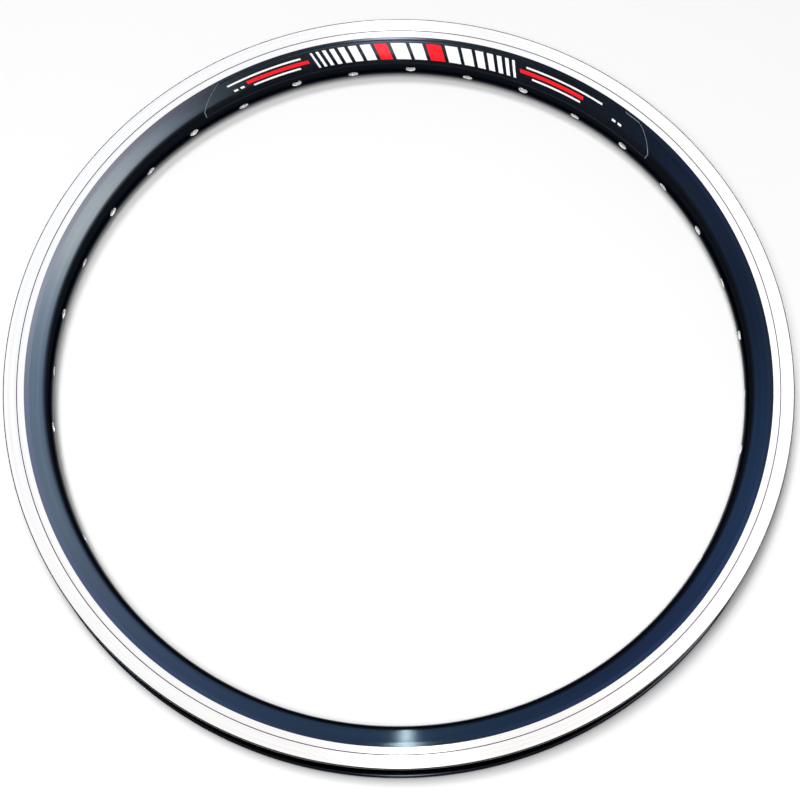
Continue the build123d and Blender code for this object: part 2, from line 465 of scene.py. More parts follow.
def band_border(half_height, half_turn):
    """Outline of one sector's band, as angle and height: along its foot, up one side, back along its top and down."""
    a = np.linspace(-half_turn, half_turn, SECTOR_COLUMNS + 1)
    z = np.linspace(-half_height, half_height, BAND_ROWS + 1)
    return np.concatenate([
        np.stack([a[:-1], np.full(SECTOR_COLUMNS, -half_height)], axis=1),
        np.stack([np.full(BAND_ROWS, half_turn), z[:-1]], axis=1),
        np.stack([a[:0:-1], np.full(SECTOR_COLUMNS, half_height)], axis=1),
        np.stack([np.full(BAND_ROWS, -half_turn), z[:0:-1]], axis=1),
        [[a[0], -half_height]],
    ])


def pierced_band(radius_at, border, rim, steps=(0.0, 0.14, 0.36, 0.66, 1.0)):
    """Band of a surface of revolution round a hole: rings between the hole's edge and the sector's border.

    Each ring mixes the edge and the border as angle and height, and takes its radius from the surface there.
    """
    edge = np.stack([np.arctan2(rim[:, 1], rim[:, 0]), rim[:, 2]], axis=1)
    t = np.asarray(steps)[None, :, None]
    flat = edge[:, None] * (1 - t) + border[:, None] * t
    r = radius_at(flat[..., 1])
    grid = np.stack([r * np.cos(flat[..., 0]), r * np.sin(flat[..., 0]), flat[..., 1]], axis=-1)
    grid[:, 0] = rim
    return grid


def ruled(first, last, steps=2):
    """A wall of straight lines from one ring of points to another, cut into equal steps."""
    t = np.linspace(0.0, 1.0, steps + 1)[None, :, None]
    return first[:, None] * (1 - t) + last[:, None] * t


def outer_slots(section, path):
    """The finish of each step along the outer section: track face, groove, shoulder, and anodising elsewhere."""
    r, z = ((path[1:] + path[:-1]) / 2).T
    face = (z > section.side_z - ON_EDGE) & (r > section.track) & (r < section.face_end)
    groove = (r > section.groove_in - ON_EDGE) & (r < section.groove_out + ON_EDGE)
    groove &= (z > section.side_z - GROOVE_REACH) & ~face
    shoulder = (r < section.track) & (r > section.shoulder) & (z > SHOULDER_ABOVE)
    return np.select([face, groove, shoulder], [MACHINED, GROOVE, SHOULDER], ANODISED)


def hoop_mesh(section, drill):
    """The whole hoop: its section carried round the axis, with bands of each sector opened by the drilled holes."""
    half_turn = math.pi / SECTORS
    ring = drill.first_spoke + np.linspace(-half_turn, 2 * math.pi - half_turn, SECTORS * SECTOR_COLUMNS + 1)
    below = np.array([1.0, 1.0, -1.0])
    outer = Section.between(section.outer, section.well_at, WELL_BAND, section.crown_at, BED_BAND)
    inner = Section.between(section.inner, section.ceiling_at, CEILING_BAND, section.floor_at, BED_BAND)
    blocks = Blocks()
    for path, slots, flip in ((outer, outer_slots(section, outer), False), (inner, ANODISED, True)):
        blocks.add(spun(path, ring), slots, flip=flip)
        blocks.add(spun(path, ring) * below, slots, flip=not flip)

    sector = np.arange(SECTORS)
    turns = drill.first_spoke + 2 * math.pi / SECTORS * sector
    holes_apart = SECTORS // (2 * drill.spokes_per_row)
    is_valve = sector == drill.valve_sector
    is_spoke = (sector % holes_apart == 0) & ~is_valve
    is_upper = is_spoke & ((sector // holes_apart) % 2 == 0)
    across = np.linspace(-half_turn, half_turn, SECTOR_COLUMNS + 1)
    bands = ((section.crown_at, BED_BAND, False), (section.floor_at, BED_BAND, True),
             (section.ceiling_at, CEILING_BAND, False), (section.well_at, WELL_BAND, True))
    for radius_at, half, flip in bands:
        z = np.linspace(half, -half, BAND_ROWS + 1)
        plain = spun(np.stack([radius_at(z), z], axis=1), across)
        blocks.add(turned(plain, turns[~(is_spoke | is_valve)]), ANODISED, flip=flip)

    spoke = drill.spoke_radius, drill.spoke_deburr, drill.access_radius
    valve = drill.valve_radius, drill.valve_deburr, drill.valve_radius
    kinds = ((is_upper, drill.row_offset, *spoke), (is_spoke & ~is_upper, -drill.row_offset, *spoke),
             (is_valve, 0.0, *valve))
    for chosen, offset, bore, cone, access in kinds:
        tool = Drill(section, offset)
        border = band_border(BED_BAND, half_turn)
        around = np.arctan2(border[:, 1] - offset, border[:, 0] * section.bed)
        mouth = tool.meets(section.crown_at, around, bore, cone)
        throat = tool.ring(around, bore, -cone)
        floor = tool.meets(section.floor_at, around, bore)
        ceiling = tool.meets(section.ceiling_at, around, access)
        well = tool.meets(section.well_at, around, access)
        for (radius_at, half, flip), rim in zip(bands, (mouth, floor, ceiling, well)):
            patch = pierced_band(radius_at, band_border(half, half_turn), rim)
            blocks.add(turned(patch, turns[chosen]), ANODISED, flip=flip)
        for first, last in ((mouth, throat), (throat, floor), (ceiling, well)):
            blocks.add(turned(ruled(first, last), turns[chosen]), DRILLED, flip=True)
    return blocks.mesh("rim_hoop_dressed")


class Skin:
    """The outside of the upper sidewall as a strip: arc length along the section, and angle round the axis."""

    def __init__(self, section, film):
        path = section.outer
        path = path[int(np.argmax(path[:, 1] > section.side_z - SAME_PLACE)):]
        path = path[~((path[:, 0] < section.groove_out + ON_EDGE) & (path[:, 0] > section.groove_in - ON_EDGE))]
        steps = np.diff(path, axis=0)
        self.path = path
        self.at = np.r_[0.0, np.cumsum(np.linalg.norm(steps, axis=1))]
        run = steps / np.linalg.norm(steps, axis=1, keepdims=True)
        out = np.stack([run[:, 1], -run[:, 0]], axis=1)
        mean = np.concatenate([out[:1], out[1:] + out[:-1], out[-1:]])
        self.out = mean / np.linalg.norm(mean, axis=1, keepdims=True)
        self.film_radius = section.track - film.below_track
        after = int(np.argmax(path[:, 0] < section.track + SAME_PLACE))
        self.outer_edge = float(np.interp(-self.film_radius, -path[after:, 0], self.at[after:]))
        self.inner_edge = float(np.interp(-film.foot_z, -path[after:, 1], self.at[after:]))
        self.span = self.inner_edge - self.outer_edge

    def radius(self, along):
        """Radius of the metal at an arc length."""
        return np.interp(along, self.at, self.path[:, 0])

    def spot(self, along, turn, lift):
        """The point at an arc length and an angle, lifted square to the metal."""
        r, z, out_r, out_z = (np.interp(along, self.at, part) for part in (*self.path.T, *self.out.T))
        size = np.hypot(out_r, out_z)
        r, z = r + lift * out_r / size, z + lift * out_z / size
        return np.stack([r * np.cos(turn), r * np.sin(turn), z], axis=-1)


def film_reach(skin, film, radius):
    """Half the film's angle at a radius.

    The rounded end is a circle through the end of the outer edge and a point lower down, bulging outwards. At a
    radius its angle follows from the triangle of that radius, the end radius and the circle's centre.
    """
    high = np.array([math.cos(film.outer_half_span), math.sin(film.outer_half_span)]) * skin.film_radius
    low_radius = skin.film_radius - film.end_height
    low = np.array([math.cos(film.inner_half_span), math.sin(film.inner_half_span)]) * low_radius
    chord = low - high
    reach = math.hypot(*chord)
    square = np.array([chord[1], -chord[0]]) / reach
    if square @ (high + low) < 0:
        square = -square
    centre = (high + low) / 2 - square * math.sqrt(film.end_radius**2 - reach * reach / 4)
    far, bearing = math.hypot(*centre), math.atan2(centre[1], centre[0])
    cosine = (radius * radius + far * far - film.end_radius**2) / (2 * radius * far)
    swing = bearing + np.arccos(np.clip(cosine, -1.0, 1.0))
    return np.where(radius < low_radius, film.inner_half_span, np.minimum(swing, film.inner_half_span))


def closed_slab(blocks, top, foot, slot=0):
    """A thin closed sheet on the sidewall, laid clockwise: its face, its underside, and walls along four sides."""
    rim = 0 if np.ndim(slot) else slot
    wall = np.stack([top, foot], axis=-2)
    blocks.add(top, slot, flip=True)
    blocks.add(foot, rim)
    blocks.add(wall[..., :, 0, :, :], rim)
    blocks.add(wall[..., :, -1, :, :], rim, flip=True)
    blocks.add(wall[..., 0, :, :, :], rim, flip=True)
    blocks.add(wall[..., -1, :, :, :], rim)


def film_mesh(section, film):
    """The film: a strip of the sidewall between two arc lengths, with rounded ends and a bevelled edge whose lighter
    colour is a painted highlight.
    """
    skin = Skin(section, film)
    edge = film.edge_width
    along = skin.outer_edge + np.r_[0.0, np.linspace(edge, skin.span - edge, FILM_ROWS), skin.span]
    edge_share = edge / (2 * film.outer_half_span * skin.film_radius)
    across = np.r_[0.0, np.linspace(edge_share, 1 - edge_share, FILM_COLUMNS), 1.0]
    reach = film_reach(skin, film, skin.radius(along))
    turn = film.middle + (1 - 2 * across[:, None]) * reach[None, :]
    along = np.broadcast_to(along, turn.shape)
    lift = np.full(turn.shape, film.lift)
    lift[[0, -1], :] = film.lift * BEVEL
    lift[:, [0, -1]] = film.lift * BEVEL
    # the edge's lighter colour, a painted highlight on the real bevel, shows at both ends, and a little way round the
    # corner of the right one
    slot = np.zeros((turn.shape[0] - 1, turn.shape[1] - 1), int)
    slot[[0, -1], :] = 1
    slot[-HIGHLIT_CORNER:, 0] = 1
    blocks = Blocks()
    closed_slab(blocks, skin.spot(along, turn, lift), skin.spot(along, turn, film.foot), slot[None])
    return blocks.mesh("film_sheet", SHEET_SMOOTH_BELOW)


def print_mesh(section, film, name, bars):
    """Printed bars: slanted four-sided fields in arc length and angle, laid on the film's face as thin closed ink.

    A bar has its middle and width in degrees round the rim, counted to the right of the film's middle, and its two
    ends as shares of the film's width. At each share its middle moves sideways by the slant.
    """
    skin = Skin(section, film)
    middle, width, low, high = (column[:, None, None] for column in bars.T)
    u = np.linspace(-0.5, 0.5, BAR_COLUMNS)[None, :, None]
    v = np.linspace(0.0, 1.0, BAR_ROWS)[None, None, :]
    at_share = low + (high - low) * v
    along = skin.outer_edge + skin.span * at_share
    sideways = film.bar_slant * (at_share - 0.5) * skin.span / skin.radius(along)
    turn = film.middle - np.radians(middle) - sideways - np.radians(width) * u
    along = np.broadcast_to(along, turn.shape)
    blocks = Blocks()
    closed_slab(blocks, skin.spot(along, turn, film.lift + film.ink), skin.spot(along, turn, film.lift))
    return blocks.mesh(name, SHEET_SMOOTH_BELOW)


# the print: widths of the bars from left to right, the gap between them, how far they stand to the left of the
# film's middle, all in degrees, their two ends as shares of the film's width, and which of them are red
BAR_WIDTHS = (0.35, 0.45, 0.6, 0.8, 1.05, 1.35, 1.7, 2.1, 2.5, 2.1, 2.5, 2.1, 1.7, 1.35, 1.05, 0.8, 0.6, 0.45)
BAR_GAP, BAR_SHIFT = 0.62, 3.2
BAR_ENDS = (0.15, 0.80)
RED_BARS = (7, 10)

# pinstripes and dashes beside the bars: middle, width and the two ends of each
WHITE_LINES = (
    (-28.5, 13.0, 0.24, 0.31),
    (-27.2, 8.4, 0.62, 0.69),
    (23.0, 14.0, 0.24, 0.31),
    (21.4, 9.0, 0.62, 0.69),
    (-34.4, 0.7, 0.52, 0.60),
    (-33.2, 0.7, 0.52, 0.60),
    (32.6, 0.7, 0.52, 0.60),
    (33.8, 0.7, 0.52, 0.60),
)
RED_LINES = ((-26.6, 11.0, 0.40, 0.54), (20.6, 11.6, 0.40, 0.54))


def speed_bars():
    """The film's generic print: slanted bars that thin out from the middle, with pinstripes and dashes at both sides.

    Bars are spaced by their own widths plus a gap, so that a running sum places them. Returns white and red.
    """
    widths = np.array(BAR_WIDTHS)
    middle = np.cumsum(widths + BAR_GAP) - widths / 2 - BAR_GAP
    middle = middle - middle[-1] / 2 - BAR_SHIFT
    bars = np.stack([middle, widths, *(np.full_like(widths, end) for end in BAR_ENDS)], axis=1)
    is_red = np.isin(np.arange(len(widths)), RED_BARS)
    return np.concatenate([bars[~is_red], WHITE_LINES]), np.concatenate([bars[is_red], RED_LINES])


def feed(tree, socket, given):
    """Links a socket to an input, or sets the input to a plain value."""
    if isinstance(given, bpy.types.NodeSocket):
        tree.links.new(given, socket)
    else:
        socket.default_value = given


def node(tree, kind, **values):
    """A node with its settings and inputs given by name, an input as a plain value or as a socket."""
    made = tree.nodes.new(kind)
    for key, value in values.items():
        name = key.replace("_", " ")
        if hasattr(made, key):
            setattr(made, key, value)
        elif name in made.inputs:
            feed(tree, made.inputs[name], value)
        else:
            raise RuntimeError(f"{kind} has nothing named {key}")
    return made


def calc(tree, operation, *given):
    """What a Math node makes of numbers and sockets."""
    made = node(tree, "ShaderNodeMath", operation=operation)
    for socket, value in zip(made.inputs, given):
        feed(tree, socket, value)
    return made.outputs["Value"]


def vector_calc(tree, operation, *given):
    """What a Vector Math node makes of vectors and sockets: a number for a length or dot product, else a vector."""
    made = node(tree, "ShaderNodeVectorMath", operation=operation)
    for socket, value in zip(made.inputs, given):
        feed(tree, socket, value)
    return made.outputs["Value" if operation in ("LENGTH", "DOT_PRODUCT") else "Vector"]


def mixed(tree, factor, first, second):
    """A colour between two, each a socket or a plain colour, by a value that changes over the surface."""
    made = node(tree, "ShaderNodeMix", data_type="RGBA", Factor=factor)
    for socket, given in zip([s for s in made.inputs if s.type == "RGBA"], (first, second)):
        feed(tree, socket, given if isinstance(given, bpy.types.NodeSocket) else (*given, 1.0))
    return next(s for s in made.outputs if s.type == "RGBA")


def ranged(tree, value, span, to=(0.0, 1.0)):
    """A value carried from one span to another, and held at its ends."""
    made = node(tree, "ShaderNodeMapRange", From_Min=span[0], From_Max=span[1], To_Min=to[0], To_Max=to[1],
                Value=value)
    return made.outputs["Result"]


def bumped(tree, height, strength, distance):
    """A normal from a height that changes over the surface."""
    return node(tree, "ShaderNodeBump", Strength=strength, Distance=distance, Height=height).outputs["Normal"]


def round_tangent(tree):
    """The direction round the axis, along which turned and drawn metal is smooth."""
    return node(tree, "ShaderNodeTangent", direction_type="RADIAL", axis="Z").outputs["Tangent"]


def group_of(name, inputs, outputs):
    """An empty shader node group with named sockets. Returns the tree and its input and output nodes."""
    tree = bpy.data.node_groups.new(name, "ShaderNodeTree")
    for socket, default in inputs:
        made = tree.interface.new_socket(name=socket, in_out="INPUT", socket_type="NodeSocketFloat")
        made.default_value = default
    for socket in outputs:
        tree.interface.new_socket(name=socket, in_out="OUTPUT", socket_type="NodeSocketFloat")
    return tree, tree.nodes.new("NodeGroupInput"), tree.nodes.new("NodeGroupOutput")


def placed_group(tree, group, **values):
    """A node group placed in a material with its own values. Returns its outputs."""
    return node(tree, "ShaderNodeGroup", node_tree=group, **values).outputs


def drawn_grain_group():
    """Fine lines that run round the axis, as a tool or a die leaves them.

    The noise reads radius and height finely and the angle coarsely, so each mark is a long thin arc.
    """
    tree, given, out = group_of(
        "Drawn grain", [("Lines per metre", 3000.0), ("Breaks", 6.0), ("Bands per metre", 500.0)], ["Line", "Band"])
    place = node(tree, "ShaderNodeTexCoord").outputs["Object"]
    x, y, z = node(tree, "ShaderNodeSeparateXYZ", Vector=place).outputs
    radius = vector_calc(tree, "LENGTH", node(tree, "ShaderNodeCombineXYZ", X=x, Y=y).outputs["Vector"])
    # the angle is folded to both sides of one diameter, so that the noise has no seam
    fold = calc(tree, "ABSOLUTE", calc(tree, "ARCTAN2", y, x))
    breaks = calc(tree, "MULTIPLY", fold, given.outputs["Breaks"])
    for rate, socket, detail in (("Lines per metre", "Line", 2.0), ("Bands per metre", "Band", 1.0)):
        where = node(tree, "ShaderNodeCombineXYZ", X=calc(tree, "MULTIPLY", radius, given.outputs[rate]),
                     Y=calc(tree, "MULTIPLY", z, given.outputs[rate]), Z=breaks)
        noise = node(tree, "ShaderNodeTexNoise", noise_dimensions="3D", Scale=1.0, Detail=detail, Roughness=0.55,
                     Vector=where.outputs["Vector"])
        feed(tree, out.inputs[socket], noise.outputs["Fac"])
    return tree


def handling_group():
    """Soft smudges and fine dust from handling: a coarse noise for smudges, the peaks of a fine one for specks."""
    tree, given, out = group_of("Handling", [("Smudges per metre", 22.0), ("Specks per metre", 900.0)],
                                ["Smudge", "Speck"])
    place = node(tree, "ShaderNodeTexCoord").outputs["Object"]
    smudge = node(tree, "ShaderNodeTexNoise", Detail=4.0, Roughness=0.6, Vector=place,
                  Scale=given.outputs["Smudges per metre"])
    speck = node(tree, "ShaderNodeTexNoise", Detail=1.0, Roughness=0.5, Vector=place,
                 Scale=given.outputs["Specks per metre"])
    feed(tree, out.inputs["Smudge"], smudge.outputs["Fac"])
    feed(tree, out.inputs["Speck"], ranged(tree, speck.outputs["Fac"], PEAKS))
    return tree


def shared_group(name, build):
    """A node group made once and used again by its name."""
    return bpy.data.node_groups.get(name) or build()


def new_material(name, **values):
    """A material with one Principled shader whose plain values are set on its own sockets."""
    made = bpy.data.materials.new(name)
    made.use_nodes = True
    shader = made.node_tree.nodes["Principled BSDF"]
    dress(made.node_tree, shader, **values)
    return made, made.node_tree, shader


def dress(tree, shader, **given):
    """Gives a shader's inputs plain values, or links them to what changes over the surface."""
    for key, value in given.items():
        feed(tree, shader.inputs[key.replace("_", " ")], value)


def uneven(tree, middle, smudge, by_smudge, line, by_line):
    """A roughness that smudges and lines each move to both sides of its middle."""
    return calc(tree, "ADD", ranged(tree, smudge, WIDE, (middle - by_smudge, middle + by_smudge)),
                ranged(tree, line, WIDE, (-by_line, by_line)))


def anodised_material(finish, grain, handling, name, light, dark):
    """Satin blue-black anodising over extruded metal: long die lines, faint smudges and hardly any dust."""
    made, tree, shader = new_material(name, Metallic=1.0, Anisotropic=0.95, Anisotropic_Rotation=0.25,
                                      Specular_Tint=(0.45, 0.45, 0.45, 1.0))
    lines = placed_group(tree, grain, Lines_per_metre=5200.0, Breaks=2.0, Bands_per_metre=420.0)
    marks = placed_group(tree, handling, Smudges_per_metre=26.0, Specks_per_metre=1400.0)
    base = mixed(tree, ranged(tree, lines["Band"], WIDE), light, dark)
    dust = ranged(tree, marks["Speck"], (0.0, 1.0), (0.0, 0.006))
    dress(tree, shader, Base_Color=mixed(tree, dust, base, (0.30, 0.31, 0.33)),
          Roughness=uneven(tree, finish.anodised_rough, marks["Smudge"], 0.02, lines["Line"], 0.015),
          Normal=bumped(tree, lines["Line"], 0.10, 0.00004), Tangent=round_tangent(tree))
    return made


def machined_material(finish, grain, handling):
    """Brake track turned bright: close concentric tool marks, slight bands, and a highlight drawn out across them."""
    made, tree, shader = new_material("Machined brake track", Metallic=1.0, Anisotropic=0.60,
                                      Anisotropic_Rotation=0.25)
    lines = placed_group(tree, grain, Lines_per_metre=9000.0, Breaks=1.2, Bands_per_metre=900.0)
    marks = placed_group(tree, handling, Smudges_per_metre=18.0, Specks_per_metre=1100.0)
    base = mixed(tree, ranged(tree, lines["Band"], NARROW), finish.machined, finish.machined_dark)
    dress(tree, shader, Base_Color=base,
          Roughness=uneven(tree, finish.machined_rough, marks["Smudge"], 0.02, lines["Band"], 0.02),
          Normal=bumped(tree, lines["Line"], 0.05, 0.00005), Tangent=round_tangent(tree))
    return made


def groove_material(finish, grain):
    """The wear groove, where dark anodising is left between bright edges."""
    made, tree, shader = new_material("Wear groove", Metallic=1.0)
    lines = placed_group(tree, grain, Lines_per_metre=6000.0, Breaks=2.0, Bands_per_metre=300.0)
    darker = [0.7 * c for c in finish.groove]
    dress(tree, shader, Base_Color=mixed(tree, lines["Band"], finish.groove, darker),
          Roughness=ranged(tree, lines["Line"], WIDE, (0.42, 0.55)))
    return made


def drilled_material(finish, handling):
    """Bare aluminium of a drilled hole, with fine scoring."""
    made, tree, shader = new_material("Drilled aluminium", Metallic=0.15)
    marks = placed_group(tree, handling, Smudges_per_metre=900.0, Specks_per_metre=3000.0)
    darker = [0.8 * c for c in finish.drilled]
    dress(tree, shader, Base_Color=mixed(tree, ranged(tree, marks["Smudge"], NARROW), finish.drilled, darker),
          Roughness=ranged(tree, marks["Smudge"], WIDE, (0.28, 0.42)),
          Normal=bumped(tree, marks["Smudge"], 0.10, 0.00005))
    return made


def film_material(handling, name, colour_of, rough, peel=True):
    """Glossy printed film: smooth with a slight orange peel, faint smudges and dust."""
    made, tree, shader = new_material(name, Metallic=0.0, IOR=1.5, Specular_IOR_Level=0.10,
                                      Specular_Tint=(0.55, 0.75, 1.0, 1.0))
    marks = placed_group(tree, handling, Smudges_per_metre=30.0, Specks_per_metre=1700.0)
    lighter = [min(1.0, c * 1.12 + 0.0012) for c in colour_of]
    base = mixed(tree, ranged(tree, marks["Smudge"], NARROW), colour_of, lighter)
    dust = ranged(tree, marks["Speck"], (0.0, 1.0), (0.0, 0.12))
    dress(tree, shader, Base_Color=mixed(tree, dust, base, (0.45, 0.45, 0.46)),
          Roughness=ranged(tree, marks["Smudge"], WIDE, (rough, rough + 0.06)))
    if peel:
        skin = placed_group(tree, handling, Smudges_per_metre=420.0, Specks_per_metre=1700.0)
        dress(tree, shader, Normal=bumped(tree, skin["Smudge"], 0.04, 0.0001))
    return made



def piece(mesh, materials, slot, *nodes):
    """Links a finished mesh as a piece that rides on the rim and stands for CAD nodes."""
    made = bpy.data.objects.new(mesh.name, mesh)
    bpy.context.scene.collection.objects.link(made)
    for material in materials:
        mesh.materials.append(material)
    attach(made, "root")
    if nodes:
        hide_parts(*nodes)


class RIM_OT_hoop(Operator):
    """Builds the hoop with its section, holes and finishes"""

    bl_idname = "rim.hoop"
    bl_label = "Hoop"

    def execute(self, context):
        scene = context.scene
        finish = scene.rim_finish
        grain = shared_group("Drawn grain", drawn_grain_group)
        handling = shared_group("Handling", handling_group)
        mesh = hoop_mesh(Section(scene.rim_section), scene.rim_drill)
        materials = [
            anodised_material(finish, grain, handling, "Black anodised aluminium", finish.anodised,
                              finish.anodised_dark),
            machined_material(finish, grain, handling),
            groove_material(finish, grain),
            drilled_material(finish, handling),
            # the shoulder material is the anodising painted brighter, a painted sheen
            anodised_material(finish, grain, handling, "Shoulder anodising painted brighter", finish.shoulder, finish.shoulder_dark),
        ]
        piece(mesh, materials, "black_anodised_aluminium", "rim_hoop")
        return {"FINISHED"}


class RIM_OT_film(Operator):
    """Lays the glossy film on the upper sidewall"""

    bl_idname = "rim.film"
    bl_label = "Film"

    def execute(self, context):
        scene = context.scene
        finish = scene.rim_finish
        handling = shared_group("Handling", handling_group)
        mesh = film_mesh(Section(scene.rim_section), scene.rim_film)
        # the second material, on the film's bevelled edge, carries a painted highlight
        materials = [film_material(handling, "Film ground", finish.film, finish.film_rough),
                     film_material(handling, "Film edge highlight", finish.film_edge_highlight, finish.film_edge_rough, peel=False)]
        piece(mesh, materials, "gloss_film", "decal_film")
        return {"FINISHED"}


class RIM_OT_print(Operator):
    """Prints white and red bars on the film"""

    bl_idname = "rim.print_bars"
    bl_label = "Print"

    def execute(self, context):
        scene = context.scene
        finish, film = scene.rim_finish, scene.rim_film
        section = Section(scene.rim_section)
        handling = shared_group("Handling", handling_group)
        white, red = speed_bars()
        for name, bars, ink, colour_of in (("print_white", white, "White ink", finish.white_ink),
                                           ("print_red", red, "Red ink", finish.red_ink)):
            mesh = print_mesh(section, film, name, bars)
            piece(mesh, [film_material(handling, ink, colour_of, finish.film_rough)], "gloss_film")
        return {"FINISHED"}


def polar(azimuth, elevation, distance):
    """A point at an azimuth from +X towards +Y, an elevation and a distance from the rim's middle."""
    a, e = math.radians(azimuth), math.radians(elevation)
    return Vector((math.cos(a) * math.cos(e), math.sin(a) * math.cos(e), math.sin(e))) * distance


# places of the two lamps: azimuth, elevation and distance
FRONT_LAMP, FAR_LAMP = (-105.0, 74.0, 1.6), (150.0, 82.5, 4.0)

# radii of the floor's rings, and the radii between which it turns into its own white
FLOOR_RINGS = (12.0, 2.0, 0.8, 0.3, 0.1, 0.02, 0.0001)
FLOOR_WHITE = (0.45, 1.4)

# height, as a share of straight up, over which the fill goes from the walls to the ceiling
FILL_RISE = (0.0, 0.6)

# a glint grows to its full strength between these shares of y, and fades over this height at its foot and top
GLINT_SIDE, GLINT_FADE = (0.05, 0.35), 0.06
# soft lights of the room as metal mirrors them: azimuth from +X towards +Y, elevation, tightness and colour
SOFT_LIGHTS = (
    (-7.0, 46.0, 34.0, (62.91, 56.11, 41.81)),
    (-26.0, 50.0, 60.0, (14.21, 15.47, 15.84)),
    (18.0, 40.0, 25.0, (14.09, 17.85, 19.1)),
    (40.0, 32.0, 25.0, (14.2, 15.26, 14.59)),
    (62.0, 25.0, 25.0, (3.29, 4.58, 7.08)),
    (90.0, 21.0, 25.0, (1.49, 3.46, 5.36)),
    (118.0, 25.0, 25.0, (1.31, 2.08, 4.95)),
    (140.0, 33.0, 25.0, (1.5, 3.43, 5.85)),
    (160.0, 41.0, 25.0, (0.41, 0.82, 1.79)),
    (-172.0, 48.0, 25.0, (0.79, 1.52, 2.75)),
    (-1.0, 68.0, 110.0, (18.57, 13.3, 13.28)),
    (23.0, 60.0, 110.0, (19.07, 15.31, 13.24)),
    (42.0, 53.0, 110.0, (7.21, 5.06, 6.71)),
    (58.0, 47.0, 110.0, (2.55, 2.65, 4.77)),
    (73.0, 43.0, 110.0, (0.62, 1.39, 3.07)),
    (107.0, 43.0, 110.0, (0.65, 1.27, 3.05)),
    (125.0, 48.0, 110.0, (0.58, 1.33, 3.42)),
    (171.0, 65.0, 110.0, (0.13, 0.18, 1.04)),
    (128.0, 68.0, 14.0, (0.09, 0.09, 0.09)),
    (90.0, 78.0, 14.0, (0.08, 0.08, 0.08)),
    (85.0, 58.0, 14.0, (0.03, 0.03, 0.03)),
    (35.0, 3.0, 16.0, (3.0, 4.0, 4.8)),
    (72.0, 2.0, 16.0, (1.8, 2.8, 4.0)),
)

# narrow lights in the plane x = 0, which make the radial glints: side of y, sharpness, foot, top and colour
GLINTS = (
    (1.0, 12000.0, 0.0, 0.70, (114.0, 122.0, 98.0)),
    (1.0, 9000.0, 0.92, 1.10, (7.0, 7.0, 7.0)),
    (-1.0, 240.0, 0.0, 0.86, (4.0, 4.2, 4.4)),
    (-1.0, 600.0, 0.86, 1.10, (95.0, 82.0, 78.0)),
    (-1.0, 40.0, 0.86, 1.10, (4.0, 5.0, 5.6)),
)


def soft_light(tree, direction, before, azimuth, elevation, tightness, tint):
    """Adds a round soft light to a world's colour: exp(tightness * (cosine to its middle - 1)) times its tint."""
    cosine = vector_calc(tree, "DOT_PRODUCT", direction, polar(azimuth, elevation, 1.0))
    fall = calc(tree, "EXPONENT", calc(tree, "MULTIPLY_ADD", cosine, tightness, -tightness))
    return vector_calc(tree, "MULTIPLY_ADD", fall, tint, before)


def glint(tree, direction, before, side, sharpness, foot, top, tint):
    """Adds a narrow upright light to a world's colour: exp(-sharpness * x * x) on one side of y, from foot to top."""
    x, y, z = node(tree, "ShaderNodeSeparateXYZ", Vector=direction).outputs
    shone = calc(tree, "EXPONENT", calc(tree, "MULTIPLY", calc(tree, "MULTIPLY", x, x), -sharpness))
    bounds = ((y, [share_of * side for share_of in GLINT_SIDE]), (z, (foot - GLINT_FADE, foot + GLINT_FADE)),
              (z, (top + GLINT_FADE, top - GLINT_FADE)))
    for part, span in bounds:
        shone = calc(tree, "MULTIPLY", shone, ranged(tree, part, span))
    return vector_calc(tree, "MULTIPLY_ADD", shone, tint, before)


def studio_world(stage):
    """The room: soft lights for metal to mirror, a plain fill for what is matt, and white for the camera."""
    world = bpy.data.worlds.new("studio")
    world.use_nodes = True
    tree = world.node_tree
    tree.nodes.clear()
    rays = node(tree, "ShaderNodeLightPath").outputs
    direction = node(tree, "ShaderNodeTexCoord").outputs["Generated"]
    light = WHITE
    for row in SOFT_LIGHTS:
        light = soft_light(tree, direction, light, *row)
    for row in GLINTS:
        light = glint(tree, direction, light, *row)
    height = node(tree, "ShaderNodeSeparateXYZ", Vector=direction).outputs["Z"]
    fill = mixed(tree, ranged(tree, height, FILL_RISE), stage.fill_low, stage.fill_high)
    seen = mixed(tree, rays["Is Glossy Ray"], fill, light)
    for kind in ("Is Transmission Ray", "Is Camera Ray"):
        seen = mixed(tree, rays[kind], seen, WHITE)
    back = node(tree, "ShaderNodeBackground", Color=seen)
    node(tree, "ShaderNodeOutputWorld", Surface=back.outputs["Background"])
    return world


def floor_material(stage):
    """Pale matt floor with a contact shadow painted into its colour beside what stands on it, which far from the
    lamps turns into its own white.
    """
    made, tree, shader = new_material("Floor", Roughness=0.9, Specular_IOR_Level=0.0, Emission_Color=(*WHITE, 1.0))
    place = node(tree, "ShaderNodeTexCoord").outputs["Object"]
    rays = node(tree, "ShaderNodeLightPath").outputs
    seen = rays["Is Camera Ray"]
    for kind in ("Is Glossy Ray", "Is Transmission Ray"):
        seen = calc(tree, "MAXIMUM", seen, rays[kind])
    far = ranged(tree, vector_calc(tree, "LENGTH", place), FLOOR_WHITE, (stage.glow, 1.0))
    glow = calc(tree, "MULTIPLY", seen, far)
    noise = node(tree, "ShaderNodeTexNoise", Scale=3.0, Detail=3.0, Vector=place)
    uneven_floor = mixed(tree, noise.outputs["Fac"], stage.floor, [0.99 * c for c in stage.floor])
    # painted contact shadow: the ambient occlusion node darkens the floor's colour near the rim
    painted_contact_shadow = node(tree, "ShaderNodeAmbientOcclusion", samples=8, Distance=stage.painted_contact_shadow, Color=uneven_floor)
    dress(tree, shader, Base_Color=mixed(tree, glow, painted_contact_shadow.outputs["Color"], BLACK), Emission_Strength=glow)
    return made


def floor_mesh(height):
    """A flat round floor: rings about the axis at one height."""
    blocks = Blocks()
    flat = np.stack([FLOOR_RINGS, np.full(len(FLOOR_RINGS), height)], axis=1)
    blocks.add(spun(flat, np.linspace(0.0, 2 * math.pi, 97)))
    return blocks.mesh("floor")


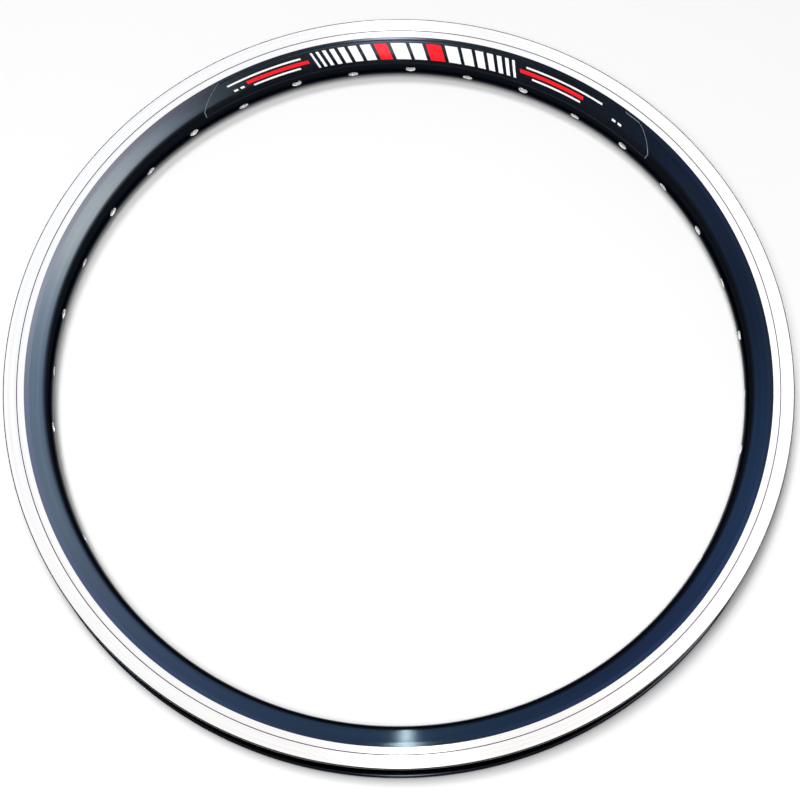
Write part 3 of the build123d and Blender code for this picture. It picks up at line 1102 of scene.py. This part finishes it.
def lamp(scene, name, watts, size, place):
    """A square soft lamp turned to the rim's middle. Metal mirrors the world, so it lights only what is matt."""
    data = bpy.data.lights.new(name, "AREA")
    data.shape = "SQUARE"
    data.size = size
    data.energy = watts
    made = bpy.data.objects.new(name, data)
    scene.collection.objects.link(made)
    made.location = place
    made.rotation_euler = (-place).to_track_quat("-Z", "Y").to_euler()
    made.visible_glossy = False


def photo_camera(scene, stage):
    """A camera that looks at the middle of the rim's upper face, then is panned, tilted and rolled."""
    data = bpy.data.cameras.new("camera")
    data.sensor_width = 36.0
    data.lens = stage.lens
    data.clip_start, data.clip_end = 0.01, 50.0
    made = bpy.data.objects.new("camera", data)
    scene.collection.objects.link(made)
    e = stage.elevation
    forward = Vector((0.0, math.cos(e), -math.sin(e)))
    up = Vector((0.0, math.sin(e), math.cos(e)))
    right = Vector((1.0, 0.0, 0.0))
    made.location = Vector((0.0, 0.0, scene.rim_section.half_width)) - forward * stage.distance
    for axis, turn in ((up, stage.pan), (right, stage.tilt), (None, stage.roll)):
        spin = Matrix.Rotation(turn, 3, forward if axis is None else axis)
        forward, up, right = spin @ forward, spin @ up, spin @ right
    made.rotation_euler = Matrix((right, up, -forward)).transposed().to_euler()
    return made


class RIM_OT_stage(Operator):
    """Sets the floor, the lamps, the world and the camera"""

    bl_idname = "rim.stage"
    bl_label = "Stage"

    def execute(self, context):
        scene, stage = context.scene, context.scene.rim_stage
        mesh = floor_mesh(-scene.rim_section.half_width)
        mesh.materials.append(floor_material(stage))
        floor = bpy.data.objects.new("floor", mesh)
        scene.collection.objects.link(floor)
        lamp(scene, "front", stage.front, stage.front_size, polar(*FRONT_LAMP))
        lamp(scene, "far", stage.far, stage.far_size, polar(*FAR_LAMP))
        scene.world = studio_world(stage)
        scene.camera = photo_camera(scene, stage)
        scene.view_settings.view_transform = "Standard"
        return {"FINISHED"}


class RIM_PT_panel(Panel):
    """Lists the rim's pieces and settings"""

    bl_idname = "RIM_PT_panel"
    bl_label = "Bicycle rim"
    bl_space_type = "VIEW_3D"
    bl_region_type = "UI"
    bl_category = "Rim"

    def draw(self, context):
        layout = self.layout
        for operator in PIECES:
            layout.operator(operator.bl_idname)
        for name, kind in SETTINGS.items():
            box = layout.box()
            box.label(text=kind.__doc__)
            for key in kind.__annotations__:
                box.prop(getattr(context.scene, name), key)


PIECES = (RIM_OT_hoop, RIM_OT_film, RIM_OT_print, RIM_OT_stage)
SETTINGS = {"rim_section": RimSection, "rim_drill": DrillPattern, "rim_film": FilmSheet, "rim_finish": RimFinish,
            "rim_stage": RimStage}


def register():
    """Registers the settings, operators and panel."""
    for kind in (*SETTINGS.values(), *PIECES, RIM_PT_panel):
        bpy.utils.register_class(kind)
    for name, kind in SETTINGS.items():
        setattr(bpy.types.Scene, name, PointerProperty(type=kind))


def unregister():
    """Removes what register added."""
    for name in SETTINGS:
        delattr(bpy.types.Scene, name)
    for kind in reversed((*SETTINGS.values(), *PIECES, RIM_PT_panel)):
        bpy.utils.unregister_class(kind)


def main():
    """Builds every piece and the stage."""
    register()
    bpy.ops.rim.hoop()
    bpy.ops.rim.film()
    bpy.ops.rim.print_bars()
    bpy.ops.rim.stage()


if __name__ == "__main__":
    main()
